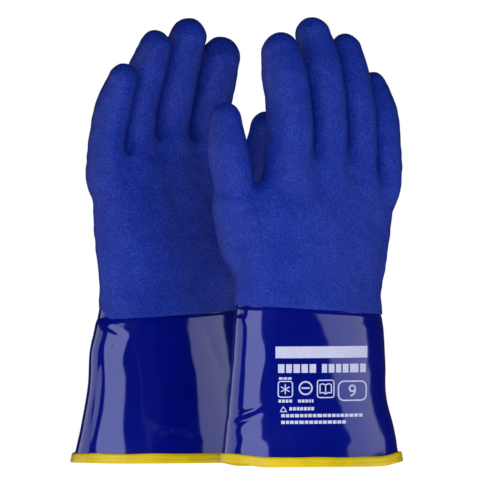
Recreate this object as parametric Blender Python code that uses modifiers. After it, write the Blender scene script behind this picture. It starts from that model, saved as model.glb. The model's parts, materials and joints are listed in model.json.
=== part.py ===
"""A pair of thermal gauntlet gloves standing on their hems, modelled in metres with +Z up.

Each glove has a rough coated hand, a smooth gauntlet sleeve, a knitted liner all the way
through and a sewn hem binding. A glove's own frame has its origin on the floor below the
middle of the wrist, +X towards the thumb and -Y towards the palm. The hand's frame has
its origin at the middle of the wrist.
"""

import math

import bmesh
import bpy
from mathutils import Matrix, Vector

MM = 0.001

# Fits and walls
FIT_GAP = 0.3 * MM
SOCKET_GAP = 0.5 * MM
COAT_WALL = 1.5 * MM
LINER_WALL = 1.7 * MM

# Standing positions of the two gloves
REAR_YAW = math.radians(36)
FRONT_YAW = math.radians(216)
REAR_X = -41.6 * MM
FRONT_X = 48.2 * MM
REAR_Y = 56.0 * MM
FRONT_Y = -56.0 * MM
REAR_HEM_SHIFT = (-5.6 * MM, 4.1 * MM)
FRONT_HEM_SHIFT = (-1.0 * MM, 0.8 * MM)
REAR_LEAN = math.radians(3)
FRONT_LEAN = math.radians(-3)

# Gauntlet
WRIST_LEVEL = 112.0 * MM
RIM_DROP = 6.0 * MM
RIM_HALF_WIDTH = 57.3 * MM
RIM_HALF_THICKNESS = 26.8 * MM
NECK_LEVEL = 86.0 * MM
NECK_HALF_WIDTH = 57.8 * MM
NECK_HALF_THICKNESS = 27.2 * MM
HEM_HALF_WIDTH = 62.0 * MM
HEM_HALF_THICKNESS = 31.0 * MM
HEM_TWIST = math.radians(-15)
HEM_LIFT = 2.8 * MM
SLEEVE_FOOT = 2.0 * MM

# The lining's slack grows with the coat's thickness and with the flare, and its top end
# drops clear of the hand's domed wrist by as much
FLARE = max(1.0, (HEM_HALF_WIDTH - NECK_HALF_WIDTH) / (4.2 * MM))
LINER_EASE = FIT_GAP * COAT_WALL / (1.5 * MM) * FLARE
GAUNTLET_LINER_DROP = 7.0 * MM + 2 * COAT_WALL + 3 * (LINER_EASE - FIT_GAP)

# Hem binding and its stitching
BINDING_HEIGHT = 6.4 * MM
BINDING_WALL = 1.2 * MM
BINDING_EDGE = 0.6 * MM
THREAD_RADIUS = 0.4 * MM
THREAD_LEVEL = 3.4 * MM

# Palm
WRIST_HALF_WIDTH = 55.5 * MM
WRIST_HALF_THICKNESS = 25.0 * MM
WRIST_DOME_DEPTH = 15.0 * MM
PALM_LENGTH = 103.0 * MM
HEEL_HALF_WIDTH = 58.5 * MM
MID_PALM_HALF_WIDTH = 55.5 * MM
UPPER_PALM_HALF_WIDTH = 54.5 * MM
HEEL_HALF_THICKNESS = 25.0 * MM
MID_PALM_HALF_THICKNESS = 23.0 * MM
UPPER_PALM_HALF_THICKNESS = 22.0 * MM
KNUCKLE_HALF_THICKNESS = 18.2 * MM
KNUCKLE_DEPTH = -3.5 * MM
KNUCKLE_EDGE = 39.5 * MM
WEB_DROP = 3.5 * MM
WEB_THICKNESS = 6.5 * MM
WEB_SLOPE = 0.14

# Fingers: half width and half thickness at the knuckle, length, how far each knuckle is
# below the middle one, how far palmward it is, its curl at rest and how far its tip fans
INDEX_HALF_WIDTH = 14.0 * MM
MIDDLE_HALF_WIDTH = 13.3 * MM
RING_HALF_WIDTH = 12.2 * MM
LITTLE_HALF_WIDTH = 10.9 * MM
INDEX_HALF_THICKNESS = 15.4 * MM
MIDDLE_HALF_THICKNESS = 15.2 * MM
RING_HALF_THICKNESS = 14.2 * MM
LITTLE_HALF_THICKNESS = 12.6 * MM
INDEX_LENGTH = 74.5 * MM
MIDDLE_LENGTH = 86.0 * MM
RING_LENGTH = 78.0 * MM
LITTLE_LENGTH = 66.0 * MM
INDEX_DROP = 2.0 * MM
RING_DROP = 2.0 * MM
LITTLE_DROP = 12.0 * MM
INDEX_DEPTH = -3.0 * MM
MIDDLE_DEPTH = -4.0 * MM
RING_DEPTH = -4.0 * MM
LITTLE_DEPTH = -3.0 * MM
INDEX_CURL = (0, 21)
MIDDLE_CURL = (0, 25)
RING_CURL = (2, 29)
LITTLE_CURL = (4, 36)
INDEX_FAN = 2.0 * MM
MIDDLE_FAN = 0.5 * MM
RING_FAN = -1.5 * MM
LITTLE_FAN = -3.0 * MM
FINGER_GAP = 1.1 * MM
LITTLE_GAP = 1.7 * MM

# Thumb
THUMB_HALF_WIDTH = 13.4 * MM
THUMB_HALF_THICKNESS = 16.0 * MM
THUMB_LENGTH = 63.5 * MM
THUMB_X = 50.5 * MM
THUMB_DEPTH = 13.5 * MM
THUMB_LEVEL = PALM_LENGTH * 60 / 103
THUMB_CURL = (2, 9)
THUMB_FAN = 4.7 * MM
THENAR_DROP = 6.7 * MM
THENAR_WALL = 2.0 * MM

# Facets
GAUNTLET_SIDES = 32
PALM_SIDES = 24
DIGIT_SIDES = 12
PAD_SIDES = 16

COAT_COLOUR = (0.016, 0.031, 0.37, 1.0)
SLEEVE_COLOUR = (0.002, 0.004, 0.26, 1.0)
BINDING_COLOUR = (0.75, 0.57, 0.005, 1.0)
LINER_COLOUR = (0.55, 0.56, 0.6, 1.0)
THREAD_COLOUR = (0.8, 0.66, 0.05, 1.0)


def clear_scene():
    for obj in list(bpy.data.objects):
        bpy.data.objects.remove(obj, do_unlink=True)
    for block in list(bpy.data.meshes) + list(bpy.data.materials):
        block.user_clear()
    for collection in list(bpy.data.collections):
        bpy.data.collections.remove(collection)


def new_collection(name):
    collection = bpy.data.collections.new(name)
    bpy.context.scene.collection.children.link(collection)
    return collection


def material(name, colour, roughness, coat=0.0):
    found = bpy.data.materials.new(name)
    found.use_nodes = True
    shader = found.node_tree.nodes["Principled BSDF"]
    shader.inputs["Base Color"].default_value = colour
    shader.inputs["Roughness"].default_value = roughness
    shader.inputs["Coat Weight"].default_value = coat
    found.diffuse_color = colour
    return found


def empty(name, parent, location, rotation=(0.0, 0.0, 0.0)):
    made = bpy.data.objects.new(name, None)
    made.empty_display_size = 20 * MM
    made.parent = parent
    made.location = location
    made.rotation_euler = rotation
    PARTS.objects.link(made)
    return made


def finish(name, bm, parent, location=(0, 0, 0), look=None):
    """An object from a bmesh: a part when it has a look, and otherwise a cutter."""
    mesh = bpy.data.meshes.new(name)
    bm.to_mesh(mesh)
    bm.free()
    made = bpy.data.objects.new(name, mesh)
    made.parent = parent
    made.location = location
    if look:
        mesh.materials.append(material(name + "_material", *look))
        PARTS.objects.link(made)
        return made
    made.hide_render = True
    made.display_type = "WIRE"
    CUTTERS.objects.link(made)
    return made


def loft(rings, start=None, end=None):
    """A skin through rings of equal count, each anticlockwise seen from its far end. A
    start or end point closes that end."""
    bm = bmesh.new()
    rows = [[bm.verts.new(point) for point in ring] for ring in rings]
    count = len(rows[0])
    for low, high in zip(rows, rows[1:]):
        for j in range(count):
            k = (j + 1) % count
            bm.faces.new((low[j], low[k], high[k], high[j]))
    if start is not None:
        pole = bm.verts.new(start)
        for j in range(count):
            bm.faces.new((rows[0][(j + 1) % count], rows[0][j], pole))
    if end is not None:
        pole = bm.verts.new(end)
        for j in range(count):
            bm.faces.new((rows[-1][j], rows[-1][(j + 1) % count], pole))
    if start is not None:
        bmesh.ops.triangulate(bm, faces=bm.faces[:])
    return bm


def solidify(obj, thickness):
    shell = obj.modifiers.new("wall", "SOLIDIFY")
    shell.thickness = thickness
    shell.offset = -1.0
    shell.use_even_offset = True
    return obj


def boolean(obj, operation, cutter):
    cut = obj.modifiers.new(cutter.name, "BOOLEAN")
    cut.operation = operation
    cut.solver = "EXACT"
    cut.object = cutter
    return obj


def power_sign(value, power):
    return math.copysign(abs(value) ** power, value)


def oval(half_x, half_y, sides, squareness=2.0):
    """Points of a superellipse about the origin; squareness 2 is an ellipse."""
    power = 2.0 / squareness
    turns = [2 * math.pi * j / sides for j in range(sides)]
    return [
        (half_x * power_sign(math.cos(t), power), half_y * power_sign(math.sin(t), power))
        for t in turns
    ]


def between(stations, level):
    """The values at a level, interpolated between (level, values...) stations."""
    if level <= stations[0][0]:
        return stations[0][1:]
    for low, high in zip(stations, stations[1:]):
        if level <= high[0]:
            part = (level - low[0]) / (high[0] - low[0])
            return [a + (b - a) * part for a, b in zip(low[1:], high[1:])]
    return stations[-1][1:]


def smooth(value):
    value = min(max(value, 0.0), 1.0)
    return value * value * (3 - 2 * value)


# Gauntlet ----------------------------------------------------------------------------


def gauntlet_ring(level, inset, shift):
    """One level of the sleeve, drawn in by the inset; the hem is turned on the wrist."""
    stations = (
        (0.0, HEM_HALF_WIDTH, HEM_HALF_THICKNESS, HEM_TWIST, 1.0),
        (NECK_LEVEL, NECK_HALF_WIDTH, NECK_HALF_THICKNESS, HEM_TWIST * 0.1, 0.15),
        (WRIST_LEVEL - RIM_DROP, RIM_HALF_WIDTH, RIM_HALF_THICKNESS, 0.0, 0.0),
    )
    half_x, half_y, twist, off = between(stations, level)
    points = []
    for x, y in oval(half_x - inset, half_y - inset, GAUNTLET_SIDES):
        side = abs(x) / (half_x - inset)
        lift = HEM_LIFT * smooth((side - 0.62) / 0.38) * max(0.0, 1 - level / NECK_LEVEL)
        turned_x = x * math.cos(twist) - y * math.sin(twist)
        turned_y = x * math.sin(twist) + y * math.cos(twist)
        points.append((turned_x + shift[0] * off, turned_y + shift[1] * off, level + lift))
    return points


def sleeve(name, parent, look, inset, wall, foot, top, shift):
    levels = [foot, NECK_LEVEL * 0.33, NECK_LEVEL * 0.67, NECK_LEVEL, top]
    bm = loft([gauntlet_ring(level, inset, shift) for level in levels])
    return solidify(finish(name, bm, parent, look=look), wall)


def hem_profile():
    """The binding's U, as (inset from the sleeve's face, level), anticlockwise."""
    outer = -(FIT_GAP + BINDING_WALL)
    slot_in = COAT_WALL + LINER_EASE + LINER_WALL + 1.8 * FIT_GAP
    inner = slot_in + BINDING_WALL
    floor = SLEEVE_FOOT - 2 * FIT_GAP
    return (
        (outer + BINDING_EDGE, 0.0),
        (outer, BINDING_EDGE * 1.4),
        (outer, BINDING_HEIGHT - BINDING_EDGE),
        (outer + BINDING_EDGE * 0.7, BINDING_HEIGHT),
        (-FIT_GAP, BINDING_HEIGHT),
        (-FIT_GAP, floor),
        (slot_in, floor),
        (slot_in, BINDING_HEIGHT),
        (inner - BINDING_EDGE * 0.7, BINDING_HEIGHT),
        (inner, BINDING_HEIGHT - BINDING_EDGE),
        (inner, BINDING_EDGE * 1.4),
        (inner - BINDING_EDGE, 0.0),
    )


def closed_sweep(name, parent, look, profile, shift):
    """A closed profile carried round the sleeve's hem."""
    rings = [gauntlet_ring(level, inset, shift) for inset, level in profile]
    bm = loft(rings + rings[:1])
    bmesh.ops.remove_doubles(bm, verts=bm.verts, dist=1e-6)
    return finish(name, bm, parent, look=look)


# Digits ------------------------------------------------------------------------------


class Digit:
    """A finger or thumb: an ellipsoid knuckle about its hinge and a curled, tapered tube."""

    def __init__(self, name, knuckle, halves, length, curl, fan, tapers):
        self.name = name
        self.knuckle = Vector(knuckle)
        self.half_width, self.half_thickness = halves
        self.length = length
        self.curl = [math.radians(angle) for angle in curl]
        self.fan = fan
        self.tapers = tapers

    def spine(self, distance):
        """(point, heading) at a distance along the arc from the knuckle."""
        first, last = self.curl
        radius = self.length / (last - first)
        heading = first + (last - first) * distance / self.length
        palmward = radius * (math.cos(first) - math.cos(heading))
        along = radius * (math.sin(heading) - math.sin(first))
        side = self.fan * (distance / self.length) ** 1.3
        return Vector((side, -palmward, along)), heading

    def ring(self, distance, inset, factor, forward=0.0, share=1.0):
        """A cross-section at a distance; share shrinks it once the inset is taken off."""
        point, heading = self.spine(distance)
        across = Vector((0, math.cos(heading), math.sin(heading)))
        ahead = Vector((0, -math.sin(heading), math.cos(heading)))
        half_x = (self.half_width * factor - inset) * share
        half_y = (self.half_thickness * factor - inset) * share
        return [
            point + ahead * forward + Vector((x, 0, 0)) + across * y
            for x, y in oval(half_x, half_y, DIGIT_SIDES)
        ]

    def skin(self, inset, domed):
        rings = []
        if domed:
            for angle in (45, 66):
                turn = math.radians(angle)
                drop = (self.half_thickness - inset) * math.cos(turn)
                rings.append(self.ring(0.0, inset, 1.0, -drop, math.sin(turn)))
        tip_factor = self.tapers[-1]
        tip_reach = 1.2 * self.half_width * tip_factor
        tip_start = self.length - tip_reach
        tip_reach -= inset
        shares = (0.0, 0.22, 0.48, 0.75, 1.0)
        for share, factor in zip(shares, self.tapers):
            rings.append(self.ring(tip_start * share, inset, factor))
        for angle in (36, 66):
            turn = math.radians(angle)
            ahead = tip_reach * math.sin(turn)
            rings.append(self.ring(tip_start, inset, tip_factor, ahead, math.cos(turn)))
        point, heading = self.spine(tip_start)
        pole = point + Vector((0, -math.sin(heading), math.cos(heading))) * tip_reach
        return loft(rings, end=pole)

    def build(self, side, hand):
        coat = finish(
            f"{side}_{self.name}_coat",
            self.skin(0.0, True),
            hand,
            self.knuckle,
            (COAT_COLOUR, 0.62),
        )
        solidify(coat, COAT_WALL)
        liner = finish(
            f"{side}_{self.name}_liner",
            self.skin(COAT_WALL + FIT_GAP, False),
            hand,
            self.knuckle,
            (LINER_COLOUR, 0.9),
        )
        solidify(liner, LINER_WALL)

    def socket(self, side, hand):
        """The knuckle's clearance: an ellipsoid of revolution about the hinge."""
        bm = bmesh.new()
        bmesh.ops.create_uvsphere(bm, u_segments=18, v_segments=10, radius=1.0)
        reach = self.half_thickness + SOCKET_GAP
        turn = Matrix.Rotation(math.pi / 2, 4, "Y")
        stretch = Matrix.Diagonal((self.half_width + SOCKET_GAP, reach, reach, 1.0))
        bmesh.ops.transform(bm, matrix=stretch @ turn, verts=bm.verts)
        return finish(f"{side}_{self.name}_socket", bm, hand, self.knuckle)


FINGER_TAPERS = (1.0, 1.03, 1.04, 0.96, 0.82)
THUMB_TAPERS = (1.0, 1.0, 0.97, 0.87, 0.68)


def digits():
    """Each knuckle is placed from its neighbour's width, so that no two fingers share a slab."""
    index_x = KNUCKLE_EDGE - COAT_WALL - SOCKET_GAP - INDEX_HALF_WIDTH
    middle_x = index_x - INDEX_HALF_WIDTH - MIDDLE_HALF_WIDTH - FINGER_GAP
    ring_x = middle_x - MIDDLE_HALF_WIDTH - RING_HALF_WIDTH - FINGER_GAP
    little_x = ring_x - RING_HALF_WIDTH - LITTLE_HALF_WIDTH - LITTLE_GAP
    return {
        "index": Digit(
            "index",
            (index_x, -INDEX_DEPTH, PALM_LENGTH - INDEX_DROP),
            (INDEX_HALF_WIDTH, INDEX_HALF_THICKNESS),
            INDEX_LENGTH,
            INDEX_CURL,
            INDEX_FAN,
            FINGER_TAPERS,
        ),
        "middle": Digit(
            "middle",
            (middle_x, -MIDDLE_DEPTH, PALM_LENGTH),
            (MIDDLE_HALF_WIDTH, MIDDLE_HALF_THICKNESS),
            MIDDLE_LENGTH,
            MIDDLE_CURL,
            MIDDLE_FAN,
            FINGER_TAPERS,
        ),
        "ring": Digit(
            "ring",
            (ring_x, -RING_DEPTH, PALM_LENGTH - RING_DROP),
            (RING_HALF_WIDTH, RING_HALF_THICKNESS),
            RING_LENGTH,
            RING_CURL,
            RING_FAN,
            FINGER_TAPERS,
        ),
        "little": Digit(
            "little",
            (little_x, -LITTLE_DEPTH, PALM_LENGTH - LITTLE_DROP),
            (LITTLE_HALF_WIDTH, LITTLE_HALF_THICKNESS),
            LITTLE_LENGTH,
            LITTLE_CURL,
            LITTLE_FAN,
            FINGER_TAPERS,
        ),
        "thumb": Digit(
            "thumb",
            (THUMB_X, -THUMB_DEPTH, THUMB_LEVEL),
            (THUMB_HALF_WIDTH, THUMB_HALF_THICKNESS),
            THUMB_LENGTH,
            THUMB_CURL,
            THUMB_FAN,
            THUMB_TAPERS,
        ),
    }


# Palm --------------------------------------------------------------------------------


class Palm:
    """The hand between wrist and knuckles, as horizontal sections with a thumb base."""

    def __init__(self, made):
        self.digits = made
        little = made["little"]
        wall = COAT_WALL + SOCKET_GAP
        left = little.knuckle.x - little.half_width - wall
        self.top_half_width = (KNUCKLE_EDGE - left) / 2
        self.top_x = (KNUCKLE_EDGE + left) / 2
        self.step_x = little.knuckle.x + little.half_width + SOCKET_GAP
        self.web_level = min(made["index"].knuckle.z, made["ring"].knuckle.z) - WEB_DROP
        self.little_level = little.knuckle.z - WEB_DROP
        self.hollow_top = self.web_level - WEB_THICKNESS
        self.little_step = self.web_level - self.little_level - 2 * MM
        self.rim = THUMB_LEVEL - THENAR_DROP

    def section(self, level):
        """(half width, half thickness, centre x, centre y, squareness) at a level."""
        length = PALM_LENGTH
        stations = (
            (0.0, WRIST_HALF_WIDTH, WRIST_HALF_THICKNESS, 0.0, 0.0, 2.0),
            (0.27 * length, HEEL_HALF_WIDTH, HEEL_HALF_THICKNESS, -2 * MM, -0.5 * MM, 2.1),
            (0.58 * length, MID_PALM_HALF_WIDTH, MID_PALM_HALF_THICKNESS, -7 * MM, MM, 2.4),
            (0.7 * length, UPPER_PALM_HALF_WIDTH, UPPER_PALM_HALF_THICKNESS, -11 * MM, 2 * MM, 2.7),
            (
                self.web_level,
                self.top_half_width,
                KNUCKLE_HALF_THICKNESS,
                self.top_x,
                -KNUCKLE_DEPTH,
                3.6,
            ),
        )
        half_x, half_y, x, y, squareness = between(stations, level)
        if level < 0:
            narrowing = math.sqrt(1 - (level / WRIST_HALF_THICKNESS) ** 2)
            half_x, half_y = half_x * narrowing, half_y * narrowing
        return half_x, half_y, x, y, squareness

    def rings(self, inset, open_below, tops):
        """Palm sections drawn in by the inset, stepped down towards the little finger."""
        depth = WRIST_DOME_DEPTH
        dome = [-depth - 2 * MM] * open_below + [-depth, -depth / 2]
        body = [PALM_LENGTH * part for part in (0.0, 0.27, 0.425, 0.58, 0.7)] + list(tops)
        made = []
        for level in dome + body:
            half_x, half_y, mid_x, mid_y, squareness = self.section(level)
            ring = []
            for x, y in oval(half_x - inset, half_y - inset, PALM_SIDES, squareness):
                beyond = (self.step_x + 8 * MM - mid_x - x) / (14 * MM)
                step = self.little_step * smooth(beyond) * smooth(level / self.hollow_top * 2 - 1)
                ring.append((x + mid_x, y + mid_y, level - step))
            made.append(ring)
        return made

    def solid(self, name, hand, inset, open_below, tops, look=None):
        rings = self.rings(inset, open_below, tops)
        ends = [sum((Vector(p) for p in ring), Vector()) / len(ring) for ring in rings]
        bm = loft(rings, ends[0], ends[-1])
        return finish(name, bm, hand, look=look)

    def thenar(self, name, hand, inset, top):
        """The thumb's base, from inside the palm to a rim below the thumb's hinge."""
        rim_x = THUMB_X - 1.2 * MM
        rim_half_width = THUMB_HALF_WIDTH + SOCKET_GAP + THENAR_WALL
        rim_half_thickness = THUMB_HALF_THICKNESS + SOCKET_GAP + THENAR_WALL
        stations = (
            (0.06 * self.rim, 20 * MM, 4 * MM, 18 * MM, 17 * MM),
            (0.38 * self.rim, 28.5 * MM, 8 * MM, 20 * MM, 19 * MM),
            (0.68 * self.rim, 38.5 * MM, 10.8 * MM, 18.4 * MM, 18.8 * MM),
            (self.rim, rim_x, THUMB_DEPTH, rim_half_width, rim_half_thickness),
        )
        bottom = stations[0][0] + inset
        levels = [bottom, stations[1][0], stations[2][0], top]
        rings = []
        for level in levels:
            x, depth, half_x, half_y = between(stations, level)
            rings.append(
                [
                    (x + u, v - depth, level)
                    for u, v in oval(half_x - inset, half_y - inset, PAD_SIDES)
                ]
            )
        ends = [sum((Vector(p) for p in ring), Vector()) / len(ring) for ring in rings]
        return finish(name, loft(rings, ends[0], ends[-1]), hand)

    def thumb_space(self, name, hand, clearance, bottom):
        """The room beside the palm that the upright thumb stands in."""
        thumb = self.digits["thumb"]
        rings = []
        for level in (bottom, thumb.knuckle.z + 12 * MM, thumb.knuckle.z + 25 * MM):
            climb = max(0.0, level - thumb.knuckle.z)
            point, _ = thumb.spine(climb)
            ring = [
                (x + thumb.knuckle.x + point.x, y + thumb.knuckle.y + point.y, level)
                for x, y in oval(
                    thumb.half_width + clearance,
                    thumb.half_thickness + clearance,
                    PAD_SIDES,
                )
            ]
            rings.append(ring)
        ends = [sum((Vector(p) for p in ring), Vector()) / len(ring) for ring in rings]
        return finish(name, loft(rings, ends[0], ends[-1]), hand)

    def trim(self, name, hand, low_x, high_x, level):
        """Everything above a web, falling away towards the palm so that a finger can flex."""
        far = 70 * MM
        middle = -KNUCKLE_DEPTH
        rings = []
        for x in (low_x, high_x):
            rings.append(
                [
                    (x, middle - far, level - 2.5 * MM - WEB_SLOPE * far),
                    (x, middle + far, level - 2.5 * MM + WEB_SLOPE * far),
                    (x, middle + far, level + far),
                    (x, middle - far, level + far),
                ]
            )
        ends = [sum((Vector(p) for p in ring), Vector()) / len(ring) for ring in rings]
        return finish(name, loft(rings, ends[0], ends[-1]), hand)

    def build(self, side, hand):
        far = 120 * MM
        tops = (self.hollow_top, self.web_level, self.web_level + 12 * MM)
        coat = self.solid(f"{side}_hand_coat", hand, 0.0, 0, tops, (COAT_COLOUR, 0.62))
        space = self.thumb_space(f"{side}_thumb_space", hand, SOCKET_GAP, self.rim)
        boolean(coat, "DIFFERENCE", space)
        boolean(coat, "UNION", self.thenar(f"{side}_thenar", hand, 0.0, self.rim - 0.4 * MM))

        hollow = self.solid(f"{side}_hollow", hand, COAT_WALL, 1, (self.hollow_top,))
        keep = self.thumb_space(
            f"{side}_thumb_wall", hand, SOCKET_GAP + COAT_WALL, self.rim - COAT_WALL
        )
        boolean(hollow, "DIFFERENCE", keep)
        inner = self.thenar(f"{side}_thenar_hollow", hand, COAT_WALL, self.rim - 3.3 * MM)
        boolean(hollow, "UNION", inner)
        boolean(coat, "DIFFERENCE", hollow)

        sockets = {n: d.socket(side, hand) for n, d in self.digits.items()}
        main = self.trim(f"{side}_web_trim", hand, self.step_x, far, self.web_level)
        low = self.trim(
            f"{side}_little_trim", hand, -far, self.step_x + 0.2 * MM, self.little_level
        )
        boolean(coat, "DIFFERENCE", main)
        boolean(coat, "DIFFERENCE", low)
        for socket in sockets.values():
            boolean(coat, "DIFFERENCE", socket)

        gap = COAT_WALL + FIT_GAP
        liner = self.solid(
            f"{side}_hand_liner",
            hand,
            gap,
            0,
            (self.hollow_top - 2 * FIT_GAP,),
            (LINER_COLOUR, 0.9),
        )
        room = self.thumb_space(
            f"{side}_liner_room", hand, SOCKET_GAP + gap, self.rim - gap - 0.4 * MM
        )
        boolean(liner, "DIFFERENCE", room)
        pad = self.thenar(f"{side}_liner_thenar", hand, gap, self.rim - 3.9 * MM)
        boolean(liner, "UNION", pad)
        gap += LINER_WALL
        core = self.solid(f"{side}_core", hand, gap, 1, (self.hollow_top + 3 * MM,))
        core_keep = self.thumb_space(
            f"{side}_core_keep", hand, SOCKET_GAP + gap, self.rim - gap - 0.9 * MM
        )
        boolean(core, "DIFFERENCE", core_keep)
        core_pad = self.thenar(f"{side}_core_thenar", hand, gap, self.rim - 1.5 * MM)
        boolean(core, "UNION", core_pad)
        boolean(liner, "DIFFERENCE", core)
        boolean(liner, "DIFFERENCE", sockets["thumb"])
        boolean(liner, "DIFFERENCE", sockets["little"])


# Gloves ------------------------------------------------------------------------------


def glove(side, location, yaw, lean, shift):
    foot = empty(f"{side}_glove", None, location, (0.0, 0.0, yaw))
    rim = WRIST_LEVEL - RIM_DROP
    sleeve(
        f"{side}_gauntlet",
        foot,
        (SLEEVE_COLOUR, 0.12, 0.6),
        0.0,
        COAT_WALL,
        SLEEVE_FOOT,
        rim,
        shift,
    )
    sleeve(
        f"{side}_gauntlet_liner",
        foot,
        (LINER_COLOUR, 0.9),
        COAT_WALL + LINER_EASE,
        LINER_WALL,
        SLEEVE_FOOT,
        WRIST_LEVEL - GAUNTLET_LINER_DROP,
        shift,
    )
    look = (BINDING_COLOUR, 0.2, 0.5)
    closed_sweep(f"{side}_hem_binding", foot, look, hem_profile(), shift)
    reach = -(FIT_GAP + BINDING_WALL + FIT_GAP + THREAD_RADIUS)
    thread = (
        (reach, THREAD_LEVEL - THREAD_RADIUS),
        (reach - THREAD_RADIUS, THREAD_LEVEL),
        (reach, THREAD_LEVEL + THREAD_RADIUS),
        (reach + THREAD_RADIUS, THREAD_LEVEL),
    )
    closed_sweep(f"{side}_hem_thread", foot, (THREAD_COLOUR, 0.5), thread, shift)

    hand = empty(f"{side}_wrist", foot, (0.0, 0.0, WRIST_LEVEL), (0.0, lean, 0.0))
    made = digits()
    for digit in made.values():
        digit.build(side, hand)
    Palm(made).build(side, hand)
    return foot


def centre_on_floor(feet):
    """Moves the pair so that its box is centred on the origin."""
    bpy.context.view_layer.update()
    graph = bpy.context.evaluated_depsgraph_get()
    corners = []
    for obj in PARTS.objects:
        if obj.type == "MESH":
            shape = obj.evaluated_get(graph)
            corners += [shape.matrix_world @ Vector(corner) for corner in shape.bound_box]
    for axis in (0, 1):
        values = [corner[axis] for corner in corners]
        middle = (min(values) + max(values)) / 2
        for foot in feet:
            foot.location[axis] -= round(middle, 4)


clear_scene()
PARTS = new_collection("cryogenic_gloves")
CUTTERS = new_collection("cutters")
CUTTERS.hide_render = True
centre_on_floor(
    [
        glove("rear", (REAR_X, REAR_Y, 0.0), REAR_YAW, REAR_LEAN, REAR_HEM_SHIFT),
        glove("front", (FRONT_X, FRONT_Y, 0.0), FRONT_YAW, FRONT_LEAN, FRONT_HEM_SHIFT),
    ]
)
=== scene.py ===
"""Looks for the pair of coated thermal gauntlets: skins, liners, hems, print, materials and light."""

import json
import math

import bpy
import numpy as np
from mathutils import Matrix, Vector
from mathutils.bvhtree import BVHTree


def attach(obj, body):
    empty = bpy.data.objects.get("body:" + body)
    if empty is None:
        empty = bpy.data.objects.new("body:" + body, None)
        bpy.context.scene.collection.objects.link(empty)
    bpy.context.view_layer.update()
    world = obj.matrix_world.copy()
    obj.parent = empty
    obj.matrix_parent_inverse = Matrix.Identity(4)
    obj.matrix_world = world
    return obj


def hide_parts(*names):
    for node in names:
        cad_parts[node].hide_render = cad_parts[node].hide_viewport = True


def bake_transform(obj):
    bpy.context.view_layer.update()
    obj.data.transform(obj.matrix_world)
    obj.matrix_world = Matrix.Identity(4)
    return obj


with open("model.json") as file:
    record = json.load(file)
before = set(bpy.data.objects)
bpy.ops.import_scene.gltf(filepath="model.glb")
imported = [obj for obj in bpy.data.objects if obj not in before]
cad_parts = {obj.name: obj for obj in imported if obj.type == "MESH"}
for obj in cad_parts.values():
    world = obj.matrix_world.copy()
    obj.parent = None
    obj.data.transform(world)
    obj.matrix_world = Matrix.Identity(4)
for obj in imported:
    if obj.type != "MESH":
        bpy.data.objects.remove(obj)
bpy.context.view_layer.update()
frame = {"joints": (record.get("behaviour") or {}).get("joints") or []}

# Sizes here are millimetres, a glove's in its own frame; place() turns them into metres.
WRIST = 112.0
VIEW_WIDTH = 320.1        # what the frontal view spans across in the plane Y = 0
VIEW_MIDDLE = 146.4       # the height of that view's middle
DISTANCE = 11000.0        # from the camera to the plane Y = 0
EYE_X, EYE_Z = 4.0, 240.0
DIGITS = ("thumb", "index", "middle", "ring", "little")

COAT_STEP, LINER_STEP = 1.25, 2.6
COAT_THICKNESS, LINER_THICKNESS = 1.3, 1.2
COAT_EDGE_THICKNESS = 0.35    # where the rough coat runs out over the sleeve
SLEEVE_THICKNESS = 1.2
LINER_INSET = 1.9             # the hand's lining, in from the coat's outer face
SLEEVE_LINER_INSET = 1.6


# Small maths --------------------------------------------------------------------------


def smoothstep(x, low, high):
    t = np.clip((x - low) / (high - low), 0.0, 1.0)
    return t * t * (3 - 2 * t)


def smin(a, b, k):
    h = np.clip(0.5 + 0.5 * (b - a) / k, 0.0, 1.0)
    return b + (a - b) * h - k * h * (1 - h)


def curve(x, stations, column):
    """A smooth curve through one column of the stations, which are sorted by their first value."""
    xs = np.array([row[0] for row in stations], float)
    ys = np.array([row[column] for row in stations], float)
    slopes = np.gradient(ys, xs)
    x = np.clip(x, xs[0], xs[-1])
    i = np.clip(np.searchsorted(xs, x) - 1, 0, len(xs) - 2)
    h = xs[i + 1] - xs[i]
    t = (x - xs[i]) / h
    return ((1 + 2 * t) * (1 - t) ** 2 * ys[i] + t * (1 - t) ** 2 * h * slopes[i]
            + t * t * (3 - 2 * t) * ys[i + 1] + t * t * (t - 1) * h * slopes[i + 1])


def waves(points, seed, wavelength, count=14):
    """Smooth noise of about unit height, as a sum of random plane waves."""
    rng = np.random.default_rng(seed)
    total = np.zeros(len(points))
    for _ in range(count):
        direction = rng.normal(size=3)
        direction /= np.linalg.norm(direction)
        number = 2 * math.pi / (wavelength * rng.uniform(0.7, 1.5))
        total += np.sin(points @ direction * number + rng.uniform(0, 2 * math.pi))
    return total / math.sqrt(count / 2)


# Glove frames -------------------------------------------------------------------------


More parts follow.
